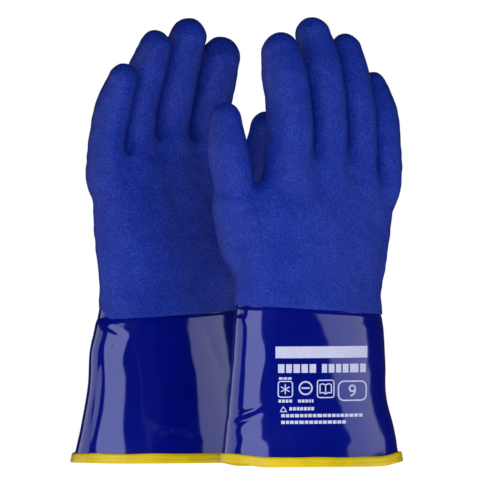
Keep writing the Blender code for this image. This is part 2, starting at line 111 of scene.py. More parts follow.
class Frame:
    """Where one glove stands, from its wrist joint."""

    def __init__(self, side, hem_shift, hem_lift, splay, spread, coat_drop, bulge, seed):
        joint = next(j for j in frame["joints"] if j["name"] == side + "_wrist_bend")
        self.side = side
        self.origin = np.array(joint["pos_m"]) * 1000
        axis = joint["axis"]
        self.lean = math.asin(-axis[2])
        self.yaw = math.atan2(axis[1], axis[0])
        self.hem_shift = hem_shift
        self.hem_lift = hem_lift
        self.splay = splay
        self.spread = spread
        self.coat_drop = coat_drop
        self.bulge = bulge
        self.seed = seed

    def place(self, x, y, z):
        c, s = math.cos(self.yaw), math.sin(self.yaw)
        return np.stack([self.origin[0] + c * x - s * y, self.origin[1] + s * x + c * y, z], 1) / 1000

    def hand(self, points):
        """Hand frame to world; the lean fades in across the wrist."""
        x, y, z = points.T
        x = x + self.splay * smoothstep(z, 70.0, 122.0) * smoothstep(x, 42.0, 46.0)
        x = x + self.spread * (x - 30.0) * smoothstep(z, 0.0, 40.0)
        lean = self.lean * smoothstep(z, -12.0, 14.0)
        return self.place(x * np.cos(lean) + z * np.sin(lean), y,
                          WRIST + z * np.cos(lean) - x * np.sin(lean))

    def point(self, x, y, z):
        return Vector(self.hand(np.array([[x, y, z]], float))[0])


# side, hem's shift and lift, thumb's splay, spread, coat's drop at the wrist, a bulge on the
# little finger's side of the sleeve as (level, reach, height), seed
GLOVES = (
    Frame("rear", (-5.6, 4.1), 0.4, 0.0, 0.018, 5.6, (76.0, 17.0, 3.2), 11),
    Frame("front", (-1.0, 0.8), 2.8, 3.2, -0.008, 2.0, (44.0, 17.0, -3.2), 29),
)


# The hand's shape as a distance field -------------------------------------------------

# level, half width, half thickness, centre x, centre palmward, squareness
PALM = (
    (-26, 57.6, 27.0, 0.0, 0.0, 2.0),
    (-8, 56.4, 25.9, 0.0, 0.0, 2.0),
    (0, 56.0, 25.4, 0.0, 0.0, 2.0),
    (28, 58.5, 25.0, -2.0, 0.5, 2.1),
    (46, 58.0, 24.0, -4.0, 0.0, 2.2),
    (60, 55.4, 22.2, -6.8, -0.4, 2.4),
    (72, 51.8, 19.8, -9.8, -0.8, 2.5),
    (81, 48.6, 17.6, -12.4, -0.6, 2.6),
    (92, 47.6, 14.4, -13.2, -0.9, 2.8),
    (106, 47.2, 11.6, -13.2, -1.2, 2.8),
)
# x and the level of the palm's top between the fingers there
WEB = ((-70, 82.0), (-56, 83.0), (-44, 85.5), (-34, 93.0), (-19, 97.5), (10, 96.0), (40, 94.5))
WEB_SLOPE = 0.42
# x, palmward, level, radius up the ball of the thumb
THENAR = ((16, 4, -2, 17), (26, 7, 14, 21.5), (34, 10, 29, 22), (43, 12.4, 45, 19), (50.5, 13.2, 58, 15.4))

# name: knuckle x, y, level, half width, half thickness, length, first and last curl, fan
FINGERS = {
    "index": (22.2, 2.6, 101.0, 14.0, 16.8, 71.4, 0, 21, 5.4),
    "middle": (-6.8, 3.2, 103.0, 13.0, 15.6, 81.2, 0, 25, 5.2),
    "ring": (-32.9, 3.2, 101.0, 11.7, 14.4, 74.2, 2, 29, 3.4),
    "little": (-55.8, 2.6, 91.0, 10.9, 12.9, 61.6, 4, 36, 0.8),
}
# share of a finger's length, share of its half width; then the same for its half thickness
FINGER_WIDTHS = ((-30, 0.86), (-0.3, 0.88), (0, 1.0), (0.22, 1.01), (0.48, 1.02), (0.75, 0.99), (1.0, 0.86))
FINGER_DEPTHS = ((-30, 1.1), (-0.3, 1.1), (0, 1.11), (0.22, 1.06), (0.48, 1.01), (0.75, 0.98), (1.0, 0.86))
# share of the thumb's length, x, half width, half thickness
THUMB = (
    (-0.45, 45.0, 14.4, 15.6),
    (0.0, 51.5, 13.6, 15.8),
    (0.2, 54.8, 13.2, 15.6),
    (0.4, 57.0, 13.0, 15.2),
    (0.6, 57.4, 12.2, 13.9),
    (0.8, 57.2, 10.0, 11.4),
    (1.0, 56.8, 8.6, 9.8),
)
THUMB_LEVEL, THUMB_DEPTH, THUMB_LENGTH = 60.0, 13.5, 64.0
THUMB_X = 55.0                # where its bend lies across the hand
THUMB_CURL = (2, 9)
THUMB_DOME = 11.0             # how much of the thumb's end is domed
# how far a digit reaches down into the palm, and how much of that end is domed
ROOT, LITTLE_ROOT, ROOT_DOME = -26.0, -16.0, 14.0


def arc(palmward, along, first, last, length):
    """(distance along, offset towards the palm) from an arc that starts at 0, 0."""
    first, last = math.radians(first), math.radians(last)
    radius = length / (last - first)
    cq, cl = radius * math.cos(first), -radius * math.sin(first)
    dq, dl = cq - palmward, along - cl
    s = (np.arctan2(dl, dq) - first) * radius
    v = radius - np.hypot(dq, dl)
    straight = s < 0
    s = np.where(straight, along * math.cos(first) + palmward * math.sin(first), s)
    v = np.where(straight, palmward * math.cos(first) - along * math.sin(first), v)
    return s, v


def rounded(u, v, a, b, w, reach):
    """Distance, near enough, to an elliptic tube whose end is domed over the given reach."""
    g = np.sqrt((u / a) ** 2 + (v / b) ** 2 + (w / reach) ** 2) + 1e-9
    slope = np.sqrt((u / a ** 2) ** 2 + (v / b ** 2) ** 2 + (w / reach ** 2) ** 2) / g + 1e-6
    return (g - 1) / slope


def digit_field(name, points):
    x, p, z = points[:, 0], -points[:, 1], points[:, 2]
    if name == "thumb":
        s, v = arc(p - THUMB_DEPTH, z - THUMB_LEVEL, *THUMB_CURL, THUMB_LENGTH)
        share = s / THUMB_LENGTH
        u = x - curve(share, THUMB, 1)
        a, b = curve(share, THUMB, 2), curve(share, THUMB, 3)
        reach, root, length = THUMB_DOME, ROOT, THUMB_LENGTH
    else:
        kx, ky, kz, width, thickness, length, first, last, fan = FINGERS[name]
        s, v = arc(p + ky, z - kz, first, last, length)
        reach, root = 1.2 * width * 0.83, LITTLE_ROOT if name == "little" else ROOT
        share = np.clip(s / (length - reach), -30, 1)
        u = x - kx - fan * np.clip(s / length, 0, 1) ** 1.3
        a, b = width * curve(share, FINGER_WIDTHS, 1), thickness * curve(share, FINGER_DEPTHS, 1)
    tip = np.maximum(s - (length - reach), 0.0)
    base = np.maximum(root - s, 0.0)
    return rounded(u, v, a, b, np.where(base > 0, base, tip), np.where(base > 0, ROOT_DOME, reach))


def palm_field(points):
    x, p, z = points[:, 0], -points[:, 1], points[:, 2]
    a, b, cx, cp, n = (curve(z, PALM, i) for i in (1, 2, 3, 4, 5))
    # the middle of the palm is hollow, and a crease runs round the ball of the thumb
    hollow = 3.0 * np.exp(-((x + 5) / 19) ** 2 - ((z - 56) / 25) ** 2)
    crease = 1.0 * np.exp(-(((x - 22) * 0.85 - (z - 50) * 0.5) / 7) ** 2 - ((z - 48) / 28) ** 2)
    v = p - cp + np.where(p > cp, hollow + crease, 0.0) * smoothstep(p - cp, 0.0, 12.0)
    u = x - cx
    ua, vb = np.abs(u) / a + 1e-9, np.abs(v) / b + 1e-9
    g = (ua ** n + vb ** n) ** (1 / n)
    slope = g ** (1 - n) * np.hypot(ua ** (n - 1) / a, vb ** (n - 1) / b)
    side = (g - 1) / np.maximum(slope, 1e-4)
    side = np.maximum(side, -30.0)
    top = np.interp(x, [w[0] for w in WEB], [w[1] for w in WEB]) + WEB_SLOPE * (p + 3)
    return -smin(-side, -(z - top), 7.0)


def thenar_field(points):
    q = np.stack([points[:, 0], -points[:, 1], points[:, 2]], 1)
    best = None
    for (x0, p0, z0, r0), (x1, p1, z1, r1) in zip(THENAR, THENAR[1:]):
        start, way = np.array([x0, p0, z0], float), np.array([x1 - x0, p1 - p0, z1 - z0], float)
        t = np.clip(((q - start) @ way) / (way @ way), 0, 1)
        d = np.linalg.norm(q - start - t[:, None] * way, axis=1) - (r0 + (r1 - r0) * t)
        best = d if best is None else smin(best, d, 4.0)
    return best


def hand_field(points):
    z = points[:, 2]
    palm = smin(palm_field(points), thenar_field(points), 9.0)
    thumb_k = np.interp(z, (50, 66, 74), (9.0, 4.0, 1.2))
    palm = smin(palm, digit_field("thumb", points), thumb_k)
    fingers = digit_field("index", points)
    for name in ("middle", "ring", "little"):
        fingers = np.minimum(fingers, digit_field(name, points))
    return smin(palm, fingers, 8.0)


# Meshing ------------------------------------------------------------------------------


def surface_nets(values, low, step):
    """Vertices and outward quads of the surface where the values cross zero."""
    inside = values < 0
    nx, ny, nz = values.shape
    corners = [(i, j, k) for i in (0, 1) for j in (0, 1) for k in (0, 1)]
    count = np.zeros((nx - 1, ny - 1, nz - 1), np.int8)
    for i, j, k in corners:
        count += inside[i:nx - 1 + i, j:ny - 1 + j, k:nz - 1 + k]
    active = (count > 0) & (count < 8)
    cells = np.argwhere(active)
    index = -np.ones(active.shape, np.int64)
    index[active] = np.arange(len(cells))
    total, hits = np.zeros((len(cells), 3)), np.zeros(len(cells))
    for a in corners:
        for axis in range(3):
            if a[axis]:
                continue
            b = tuple(1 if n == axis else a[n] for n in range(3))
            fa = values[tuple((cells + a).T)]
            fb = values[tuple((cells + b).T)]
            cross = (fa < 0) != (fb < 0)
            t = np.where(cross, fa / np.where(cross, fa - fb, 1.0), 0.0)
            total += np.where(cross[:, None], np.array(a) + t[:, None] * (np.array(b) - np.array(a)), 0.0)
            hits += cross
    points = low + (cells + total / hits[:, None]) * step
    quads = []
    for axis in range(3):
        u, v = (axis + 1) % 3, (axis + 2) % 3
        first = np.take(inside, range(values.shape[axis] - 1), axis)
        second = np.take(inside, range(1, values.shape[axis]), axis)
        edges = np.argwhere(first != second)
        keep = np.ones(len(edges), bool)
        for n in (u, v):
            keep &= (edges[:, n] >= 1) & (edges[:, n] <= values.shape[n] - 2)
        edges = edges[keep]
        outward = first[tuple(edges.T)]
        around = []
        for du, dv in ((1, 1), (0, 1), (0, 0), (1, 0)):
            cell = edges.copy()
            cell[:, u] -= du
            cell[:, v] -= dv
            around.append(index[tuple(cell.T)])
        quad = np.stack(around, 1)
        quads.append(np.where(outward[:, None], quad, quad[:, ::-1]))
    return points, np.concatenate(quads)


def gradient(field, points, h=0.35):
    slope = np.zeros_like(points)
    for axis in range(3):
        step = np.zeros(3)
        step[axis] = h
        slope[:, axis] = (field(points + step) - field(points - step)) / (2 * h)
    return slope


def clip_below(points, faces, level):
    """Keeps the part where level(points) > 0, with new vertices on the cut.

    Faces are rows of 4 vertices; a triangle's last one is -1."""
    height = level(points)
    side = height > 0
    known = faces >= 0
    above = (side[np.maximum(faces, 0)] | ~known).all(1)
    below = (~side[np.maximum(faces, 0)] | ~known).all(1)
    kept = [tuple(f) for f in faces[above]]
    new_points, cut_at = list(points), {}

    def cut(a, b):
        key = (min(a, b), max(a, b))
        if key not in cut_at:
            t = height[a] / (height[a] - height[b])
            cut_at[key] = len(new_points)
            new_points.append(points[a] + t * (points[b] - points[a]))
        return cut_at[key]

    for face in faces[~above & ~below]:
        ring = [int(v) for v in face if v >= 0]
        made = []
        for a, b in zip(ring, ring[1:] + ring[:1]):
            if side[a]:
                made.append(a)
            if side[a] != side[b]:
                made.append(cut(a, b))
        for i in range(1, len(made) - 1, 2):
            part = [made[0]] + made[i:i + 3]
            kept.append(tuple(part + [-1] * (4 - len(part))))
    return compact(np.array(new_points), np.array(kept, np.int64))[:2]


def compact(points, faces):
    """Drops unused vertices. Returns the old index of each kept vertex as well."""
    used = np.unique(faces[faces >= 0])
    renumber = -np.ones(len(points) + 1, np.int64)
    renumber[used] = np.arange(len(used))
    return points[used], renumber[faces], used


def vertex_normals(points, faces):
    f = np.where(faces[:, 3:4] < 0, faces[:, [0, 1, 2, 2]], faces)
    n = np.cross(points[f[:, 2]] - points[f[:, 0]], points[f[:, 3]] - points[f[:, 1]])
    tri = faces[:, 3] < 0
    n[tri] = np.cross(points[f[tri, 1]] - points[f[tri, 0]], points[f[tri, 2]] - points[f[tri, 0]])
    total = np.zeros_like(points)
    for i in range(4):
        use = faces[:, i] >= 0
        np.add.at(total, faces[use, i], n[use])
    return total / (np.linalg.norm(total, axis=1, keepdims=True) + 1e-12)


def shell(points, normals, faces, thickness):
    """A skin made into a closed shell, thickened inwards; the rim joins its two sides."""
    count = len(points)
    inner = points - normals * np.reshape(thickness, (-1, 1))
    lengths = (faces >= 0).sum(1)
    back = faces.copy()
    for n in (3, 4):
        rows = lengths == n
        back[rows, :n] = faces[rows, :n][:, ::-1]
    back = np.where(back >= 0, back + count, -1)
    pairs = []
    for i in range(4):
        j = (i + 1) % 4
        a = faces[:, i]
        b = np.where(lengths == i + 1, faces[:, 0], faces[:, j])
        use = i < lengths
        pairs.append(np.stack([a[use], b[use]], 1))
    pairs = np.concatenate(pairs)
    key = pairs[:, 0] * count + pairs[:, 1]
    reverse = pairs[:, 1] * count + pairs[:, 0]
    edge = pairs[~np.isin(key, reverse)]
    rim = np.stack([edge[:, 1], edge[:, 0], edge[:, 0] + count, edge[:, 1] + count], 1)
    return (np.concatenate([points, inner]), np.concatenate([normals, -normals]),
            np.concatenate([faces, back, rim]))


def make_object(name, points, faces, material, normals=None):
    mesh = bpy.data.meshes.new(name)
    lengths = (faces >= 0).sum(1)
    starts = np.concatenate([[0], np.cumsum(lengths)[:-1]])
    mesh.vertices.add(len(points))
    mesh.vertices.foreach_set("co", points.astype(np.float32).ravel())
    mesh.loops.add(int(lengths.sum()))
    mesh.loops.foreach_set("vertex_index", faces[faces >= 0].astype(np.int32))
    mesh.polygons.add(len(faces))
    mesh.polygons.foreach_set("loop_start", starts.astype(np.int32))
    mesh.polygons.foreach_set("loop_total", lengths.astype(np.int32))
    mesh.update(calc_edges=True)
    mesh.validate()
    mesh.polygons.foreach_set("use_smooth", np.ones(len(mesh.polygons), bool))
    if normals is not None:
        mesh.normals_split_custom_set_from_vertices(normals.astype(np.float32).tolist())
    mesh.materials.append(material)
    obj = bpy.data.objects.new(name, mesh)
    bpy.context.scene.collection.objects.link(obj)
    return obj


# Materials ----------------------------------------------------------------------------


class Nodes:
    """A Principled material with a few procedural textures in object coordinates."""

    def __init__(self, name, roughness, specular=0.5, **constants):
        self.material = bpy.data.materials.new(name)
        self.material.use_nodes = True
        self.tree = self.material.node_tree
        self.shader = self.tree.nodes["Principled BSDF"]
        self.shader.inputs["Roughness"].default_value = roughness
        self.shader.inputs["Specular IOR Level"].default_value = specular
        for key, value in constants.items():
            self.shader.inputs[key.replace("_", " ")].default_value = value
        self.place = self.tree.nodes.new("ShaderNodeTexCoord")

    def noise(self, size_mm, detail=2.0, roughness=0.5):
        node = self.tree.nodes.new("ShaderNodeTexNoise")
        node.inputs["Scale"].default_value = 1000.0 / size_mm
        node.inputs["Detail"].default_value = detail
        node.inputs["Roughness"].default_value = roughness
        self.tree.links.new(self.place.outputs["Object"], node.inputs["Vector"])
        return node.outputs["Fac"]

    def grains(self, size_mm):
        node = self.tree.nodes.new("ShaderNodeTexVoronoi")
        node.inputs["Scale"].default_value = 1000.0 / size_mm
        self.tree.links.new(self.place.outputs["Object"], node.inputs["Vector"])
        return node.outputs["Distance"]

    def bands(self, size_mm, direction, distortion=0.0):
        node = self.tree.nodes.new("ShaderNodeTexWave")
        node.bands_direction = direction
        node.inputs["Scale"].default_value = 1000.0 / size_mm / math.pi
        node.inputs["Distortion"].default_value = distortion
        self.tree.links.new(self.place.outputs["Object"], node.inputs["Vector"])
        return node.outputs["Fac"]

    def math(self, operation, a, b):
        node = self.tree.nodes.new("ShaderNodeMath")
        node.operation = operation
        for socket, value in zip(node.inputs, (a, b)):
            if isinstance(value, (int, float)):
                socket.default_value = value
            else:
                self.tree.links.new(value, socket)
        return node.outputs[0]

    def ramp(self, factor, stops):
        node = self.tree.nodes.new("ShaderNodeValToRGB")
        elements = node.color_ramp.elements
        while len(elements) < len(stops):
            elements.new(0.5)
        for element, (position, colour) in zip(elements, stops):
            element.position = position
            element.color = (*colour, 1.0)
        self.tree.links.new(factor, node.inputs["Fac"])
        return node.outputs["Color"]

    def colour(self, socket):
        self.tree.links.new(socket, self.shader.inputs["Base Color"])

    def vary_roughness(self, factor, low, high):
        node = self.tree.nodes.new("ShaderNodeMapRange")
        node.inputs["To Min"].default_value = low
        node.inputs["To Max"].default_value = high
        self.tree.links.new(factor, node.inputs["Value"])
        self.tree.links.new(node.outputs["Result"], self.shader.inputs["Roughness"])

    def bump(self, *layers):
        """Each layer is (height socket, height in millimetres, strength)."""
        previous = None
        for height, distance, strength in layers:
            node = self.tree.nodes.new("ShaderNodeBump")
            node.inputs["Distance"].default_value = distance / 1000
            node.inputs["Strength"].default_value = strength
            self.tree.links.new(height, node.inputs["Height"])
            if previous:
                self.tree.links.new(previous, node.inputs["Normal"])
            previous = node.outputs["Normal"]
        self.tree.links.new(previous, self.shader.inputs["Normal"])


def rough_pvc():
    made = Nodes("rough_blue_pvc", 0.6, 0.14)
    fine, broad, grain = made.noise(1.15, 3.0, 0.7), made.noise(14.0, 2.0), made.grains(1.1)
    mixed = made.math("ADD", made.math("MULTIPLY", fine, 0.85), made.math("MULTIPLY", broad, 0.15))
    made.colour(made.ramp(mixed, (
        (0.30, (0.0014, 0.0110, 0.195)),
        (0.50, (0.0046, 0.0235, 0.295)),
        (0.69, (0.0270, 0.0600, 0.440)),
    )))
    made.bump((broad, 0.25, 0.3), (grain, 0.16, 0.6), (fine, 0.34, 0.75))
    return made.material


def smooth_pvc():
    made = Nodes("glossy_blue_pvc", 0.1, 0.5, Specular_Tint=(0.60, 0.64, 1.0, 1.0))
    broad, soft = made.noise(45.0, 2.0), made.noise(6.0, 2.0)
    made.colour(made.ramp(broad, (
        (0.3, (0.0005, 0.0032, 0.150)),
        (0.7, (0.0007, 0.0046, 0.180)),
    )))
    made.vary_roughness(made.noise(9.0, 3.0), 0.07, 0.13)
    made.bump((soft, 0.10, 0.12), (made.noise(1.6, 2.0), 0.02, 0.12))
    return made.material


def yellow_binding():
    made = Nodes("yellow_binding", 0.34, 0.22, Coat_Weight=0.08, Coat_Roughness=0.14)
    broad = made.noise(18.0, 2.0)
    made.colour(made.ramp(broad, (
        (0.3, (0.54, 0.395, 0.001)),
        (0.7, (0.66, 0.490, 0.002)),
    )))
    made.bump((made.noise(3.2, 2.0), 0.2, 0.35), (made.noise(0.8, 1.0), 0.05, 0.2))
    return made.material


def yellow_thread():
    made = Nodes("yellow_thread", 0.6, 0.3, Sheen_Weight=0.1)
    twist = made.bands(0.5, "DIAGONAL")
    made.colour(made.ramp(twist, ((0.0, (0.50, 0.35, 0.01)), (1.0, (0.86, 0.68, 0.05)))))
    made.bump((twist, 0.08, 0.6))
    return made.material


def knit_liner():
    made = Nodes("knit_liner", 0.9, 0.2, Sheen_Weight=0.25)
    rows = made.bands(1.5, "Z", 0.6)
    fuzz = made.noise(0.9, 3.0, 0.7)
    made.colour(made.ramp(made.math("MULTIPLY", rows, fuzz), (
        (0.05, (0.40, 0.41, 0.44)),
        (0.55, (0.66, 0.67, 0.70)),
    )))
    made.bump((rows, 0.5, 0.6), (made.bands(1.7, "X", 0.6), 0.4, 0.4), (fuzz, 0.3, 0.5))
    return made.material


def pale_print():
    made = Nodes("pale_print", 0.45, 0.25)
    fleck = made.noise(0.7, 2.0)
    made.colour(made.ramp(fleck, ((0.3, (0.44, 0.46, 0.66)), (0.7, (0.56, 0.58, 0.80)))))
    made.bump((fleck, 0.03, 0.2))
    return made.material


MATERIALS = {
    "rough_coat": rough_pvc(),
    "smooth_gauntlet": smooth_pvc(),
    "hem_binding": yellow_binding(),
    "hem_thread": yellow_thread(),
    "liner": knit_liner(),
}


# Hands: one continuous skin, divided above the webs into digits ------------------------

# name: (level of the cut at the depth below, its slope palmward, reach of the bend above it)
CUTS = {
    "thumb": (77.5, 0.0, 38.0),
    "index": (105.0, 0.3, 46.0),
    "middle": (105.5, 0.3, 50.0),
    "ring": (105.0, 0.3, 47.0),
    "little": (95.5, 0.3, 41.0),
}
CUT_DEPTH = 3.0           # towards the back of the hand
BEND_CLEARANCE = 1.6      # from a cut to where its bend starts

# the box that is meshed round a hand: its lowest corner and its sides
FIELD_LOW, FIELD_SIDES = (-76.0, -42.0, -19.0), (154.0, 76.0, 214.0)

# the coat's edge below the wrist joint at the hand's middle, before a glove's own drop, and its
# rise for each millimetre towards the thumb
COAT_EDGE, COAT_EDGE_RISE = 7.6, 0.058


def coat_line(glove):
    """Above zero on the rough coat; it ends a little higher on the thumb's side."""
    return lambda points: points[:, 2] + COAT_EDGE + glove.coat_drop - COAT_EDGE_RISE * points[:, 0]


def hand_skin(offset, step, floor):
    """(points, faces, label of each vertex) of the hand's surface moved out by the offset."""
    low = np.array(FIELD_LOW)
    counts = [int(side / step) + 1 for side in FIELD_SIDES]
    axes = [low[i] + np.arange(counts[i]) * step for i in range(3)]
    grid = np.stack(np.meshgrid(*axes, indexing="ij"), -1).reshape(-1, 3)
    values = (hand_field(grid) - offset).reshape(counts)
    points, faces = surface_nets(values, low, step)
    for _ in range(2):
        slope = gradient(hand_field, points)
        size = np.maximum((slope ** 2).sum(1), 0.2)
        move = (hand_field(points) - offset) / size
        points = points - np.clip(move, -1.0, 1.0)[:, None] * slope
    points, faces = clip_below(points, faces, floor)
    nearest = np.stack([digit_field(name, points) for name in DIGITS], 1).argmin(1)
    label = np.zeros(len(points), int)
    for n, name in enumerate(DIGITS):
        level, slope, _ = CUTS[name]
        above = points[:, 2] - level - slope * (CUT_DEPTH - points[:, 1]) > 0
        label[(nearest == n) & above] = n + 1
    return points, faces, label


def divided(points, normals, faces, label):
    """{piece: (points, normals, faces, old index)} for the hand and each digit."""
    marks = np.where(faces >= 0, label[np.maximum(faces, 0)], label[faces[:, :1]])
    face_label = np.where((marks == marks[:, :1]).all(1), marks[:, 0], 0)
    made = {}
    for n, name in enumerate(("hand",) + DIGITS):
        p, f, used = compact(points, faces[face_label == n])
        made[name] = (p, normals[used], f, used)
    return made


def add_hand(glove, skin, kind, thickness, slot):
    local, faces, label = skin
    world = glove.hand(local)
    normals = vertex_normals(world, faces)
    if kind == "coat":
        # broad, middling and fine unevenness, then a fuller foot and a rounded edge
        mm = world * 1000
        move = 0.28 * waves(mm, glove.seed, 34) + 0.10 * waves(mm, glove.seed + 1, 9)
        move += 0.035 * waves(mm, glove.seed + 2, 4.0)
        move += 0.45 * (1 - smoothstep(local[:, 2], -8.0, 8.0))
        edge = np.clip(coat_line(glove)(local) / COAT_THICKNESS, 0, 1)
        move -= COAT_EDGE_THICKNESS * (1 - np.sqrt(1 - (1 - edge) ** 2))
        world = world + normals * (move / 1000)[:, None]
        normals = vertex_normals(world, faces)
    for name, (p, n, f, used) in divided(world, normals, faces, label).items():
        wall = thickness(local[used]) / 1000
        p, n, f = shell(p, n, f, wall)
        obj = make_object(f"{glove.side}_{name}_{kind}_skin", p, f, MATERIALS[slot], n)
        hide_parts(f"{glove.side}_{name}_{kind}")
        if name == "hand":
            x, y = glove.origin[:2] / 1000
            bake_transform(obj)
        else:
            level, slope, reach = CUTS[name]
            x = FINGERS[name][0] if name != "thumb" else THUMB_X
            ahead = np.array([0.0, slope, 1.0])
            ahead /= np.linalg.norm(ahead)
            foot = np.array([x, CUT_DEPTH, level + BEND_CLEARANCE])
            glove.point(*foot)
            glove.point(*(foot + ahead * reach))
            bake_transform(obj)


# Sleeves ------------------------------------------------------------------------------

# how far the sleeve goes in under the coat, the levels between which it does so, and how much
# higher they are at the thumb's side than at the middle
SLEEVE_TUCK, TUCK_LEVELS, TUCK_RISE = 0.55, (101.5, 104.4), 3.3

# level, half width, half thickness, turn, share of the hem's shift
SLEEVE = (
    (0, 62.0, 31.0, -15.0, 1.0),
    (11, 60.9, 29.4, -13.0, 0.88),
    (22, 60.1, 28.6, -11.0, 0.75),
    (44, 58.8, 27.7, -7.4, 0.52),
    (88, 57.2, 26.2, -1.2, 0.16),
    (112, 55.6, 25.0, 0.0, 0.0),
)


def seen(world):
    """Where the camera sees world points, as x and z in the plane Y = 0."""
    x, y, z = (world * 1000).T
    nearer = DISTANCE / (DISTANCE + y)
    return EYE_X + (x - EYE_X) * nearer, EYE_Z + (z - EYE_Z) * nearer


# side, x and z as the camera sees them, half length, half width, turn in degrees, height
FOLDS = (
    ("rear", -83.5, 90.7, 9.2, 2.0, -35, -0.7),
    ("rear", -80.9, 78.1, 3.3, 1.5, 60, -0.45),
    ("rear", -68.3, 84.7, 17.2, 4.6, 62, 0.7),
    ("rear", -93.4, 42.5, 22.4, 2.0, 83, -0.7),
    ("rear", -42.6, 24.0, 8.6, 4.6, -10, 0.7),
    ("rear", -26.7, 61.0, 39.6, 9.9, -88, 0.55),
    ("rear", -57.1, 55.7, 39.6, 9.2, -88, -0.6),
    ("rear", -35.3, 18.7, 7.9, 2.6, -25, -0.8),
    ("rear", -14.9, 75.5, 17.2, 3.3, -70, -0.5),
    ("front", 2.3, 95.9, 4.0, 3.3, 0, 0.6),
    ("front", 6.9, 33.9, 10.6, 1.7, 18, 0.8),
    ("front", 4.3, 28.6, 9.2, 1.6, 22, -0.8),
    ("front", 16.8, 61.0, 22.4, 5.3, 72, 0.6),
    ("front", 23.4, 10.8, 14.5, 4.6, 4, 0.7),
    ("front", 4.3, 13.4, 11.9, 4.0, 24, 0.7),
    ("front", 71.0, 61.0, 36.3, 10.6, -88, 0.5),
    ("front", 41.9, 53.0, 39.6, 11.9, -88, -0.5),
    ("front", 64.4, 16.1, 14.5, 4.0, -8, -0.6),
)


def folds(glove, world, normals):
    across, up = seen(world)
    facing = np.clip(-normals[:, 1] * 1.6, 0, 1)
    total = np.zeros(len(world))
    for side, x, z, length, width, turn, height in FOLDS:
        if side != glove.side:
            continue
        c, s = math.cos(math.radians(turn)), math.sin(math.radians(turn))
        lengthways = (across - x) * c + (up - z) * s
        sideways = (up - z) * c - (across - x) * s
        total += height * np.exp(-(lengthways / length) ** 2 - (sideways / width) ** 2)
    return total * facing


def sleeve_ring(glove, level, angle, outset):
    """World points on the sleeve, for arrays of level, angle and outset of one shape."""
    a, b, turn, off = (curve(level, SLEEVE, i) for i in (1, 2, 3, 4))
    turn = np.radians(turn)
    at, reach, height = glove.bulge
    a = a + height * np.exp(-((level - at) / reach) ** 2) * np.clip(-np.cos(angle), 0, 1)
    x, y = (a + outset) * np.cos(angle), (b + outset) * np.sin(angle)
    lift = glove.hem_lift * smoothstep(np.abs(np.cos(angle)), 0.62, 1.0) * np.clip(1 - level / 86, 0, 1)
    tx = x * np.cos(turn) - y * np.sin(turn) + glove.hem_shift[0] * off
    ty = x * np.sin(turn) + y * np.cos(turn) + glove.hem_shift[1] * off
    return glove.place(tx.ravel(), ty.ravel(), (level + lift).ravel())


def tube_faces(rows, columns):
    i, j = np.meshgrid(np.arange(rows - 1), np.arange(columns), indexing="ij")
    k = (j + 1) % columns
    return np.stack([i * columns + j, i * columns + k, (i + 1) * columns + k, (i + 1) * columns + j],
                    -1).reshape(-1, 4)


def sleeve_skin(glove, rows, columns, foot, top, outset):
    level, angle = np.meshgrid(np.linspace(foot, top, rows),
                               np.arange(columns) * 2 * math.pi / columns, indexing="ij")
    edge = level + glove.coat_drop - TUCK_RISE * np.cos(angle)
    tuck = outset - SLEEVE_TUCK * smoothstep(edge, *TUCK_LEVELS)
    world = sleeve_ring(glove, level, angle, tuck)
    faces = tube_faces(rows, columns)
    normals = vertex_normals(world, faces)
    mm = world * 1000
    fade = (1 - smoothstep(edge.ravel(), 94, TUCK_LEVELS[0])) * smoothstep(level.ravel(), 4, 16)
    move = 0.24 * waves(mm, glove.seed + 5, 46) + 0.035 * waves(mm, glove.seed + 6, 17)
    move = (move + folds(glove, world, normals)) * fade
    world = world + normals * (move / 1000)[:, None]
    return world, vertex_normals(world, faces), faces


# where the two ends of a binding overlap, as x seen by the camera: on the rear glove between
# two slopes on the camera's side, on the front glove beyond one slope
REAR_LAP, FRONT_LAP = (-98.0, -97.0, -89.2, -88.4), (102.6, 105.9)
LAP_HEIGHT = 0.55

# The binding's section: outset from the sleeve's face, level
BINDING = (
    (0.9, 0.0), (1.45, 0.3), (1.8, 1.0), (1.9, 2.1), (1.78, 3.0), (1.72, 3.4), (1.78, 3.8),
    (1.92, 4.6), (1.8, 5.6), (1.45, 6.3), (0.95, 6.55), (0.45, 6.3), (0.2, 5.6), (0.15, 3.6),
    (0.15, 1.7), (-3.0, 1.7), (-3.0, 3.6), (-3.05, 5.4), (-3.3, 6.1), (-3.8, 6.4), (-4.3, 6.0),
    (-4.6, 5.0), (-4.65, 3.0), (-4.5, 1.0), (-4.1, 0.3), (-3.4, 0.0),
)


def binding(glove, columns=360):
    profile = np.array(BINDING)
    angle = np.arange(columns) * 2 * math.pi / columns
    outset = np.repeat(profile[:, :1], columns, 1)
    level = np.repeat(profile[:, 1:], columns, 1)
    turn = np.repeat(angle[None], len(profile), 0)
    base = sleeve_ring(glove, level, turn, outset)
    across = seen(base)[0].reshape(outset.shape)
    near = (base[:, 1].reshape(outset.shape) * 1000 < glove.origin[1])
    if glove.side == "rear":
        lap = smoothstep(across, *REAR_LAP[:2]) * (1 - smoothstep(across, *REAR_LAP[2:])) * near
    else:
        lap = smoothstep(across, *FRONT_LAP)
    ripple = 0.16 * waves(base * 1000, glove.seed + 8, 26).reshape(outset.shape)
    high = smoothstep(level, 3.0, 6.0)
    outset = outset + np.where(outset > 0.5, lap * LAP_HEIGHT + ripple * 0.6, 0.0)
    world = sleeve_ring(glove, level + high * (ripple * 0.8 + 0.3 * lap), turn, outset)
    count = len(profile)
    faces = tube_faces(count + 1, columns) % (count * columns)
    # The profile runs anticlockwise seen with the outside to its right, so turn the faces out.
    faces = faces[:, ::-1]
    return world, vertex_normals(world, faces), faces


# the groove in the binding that holds the stitches: its level and its outset
GROOVE_LEVEL, GROOVE_OUTSET = 3.4, 1.74


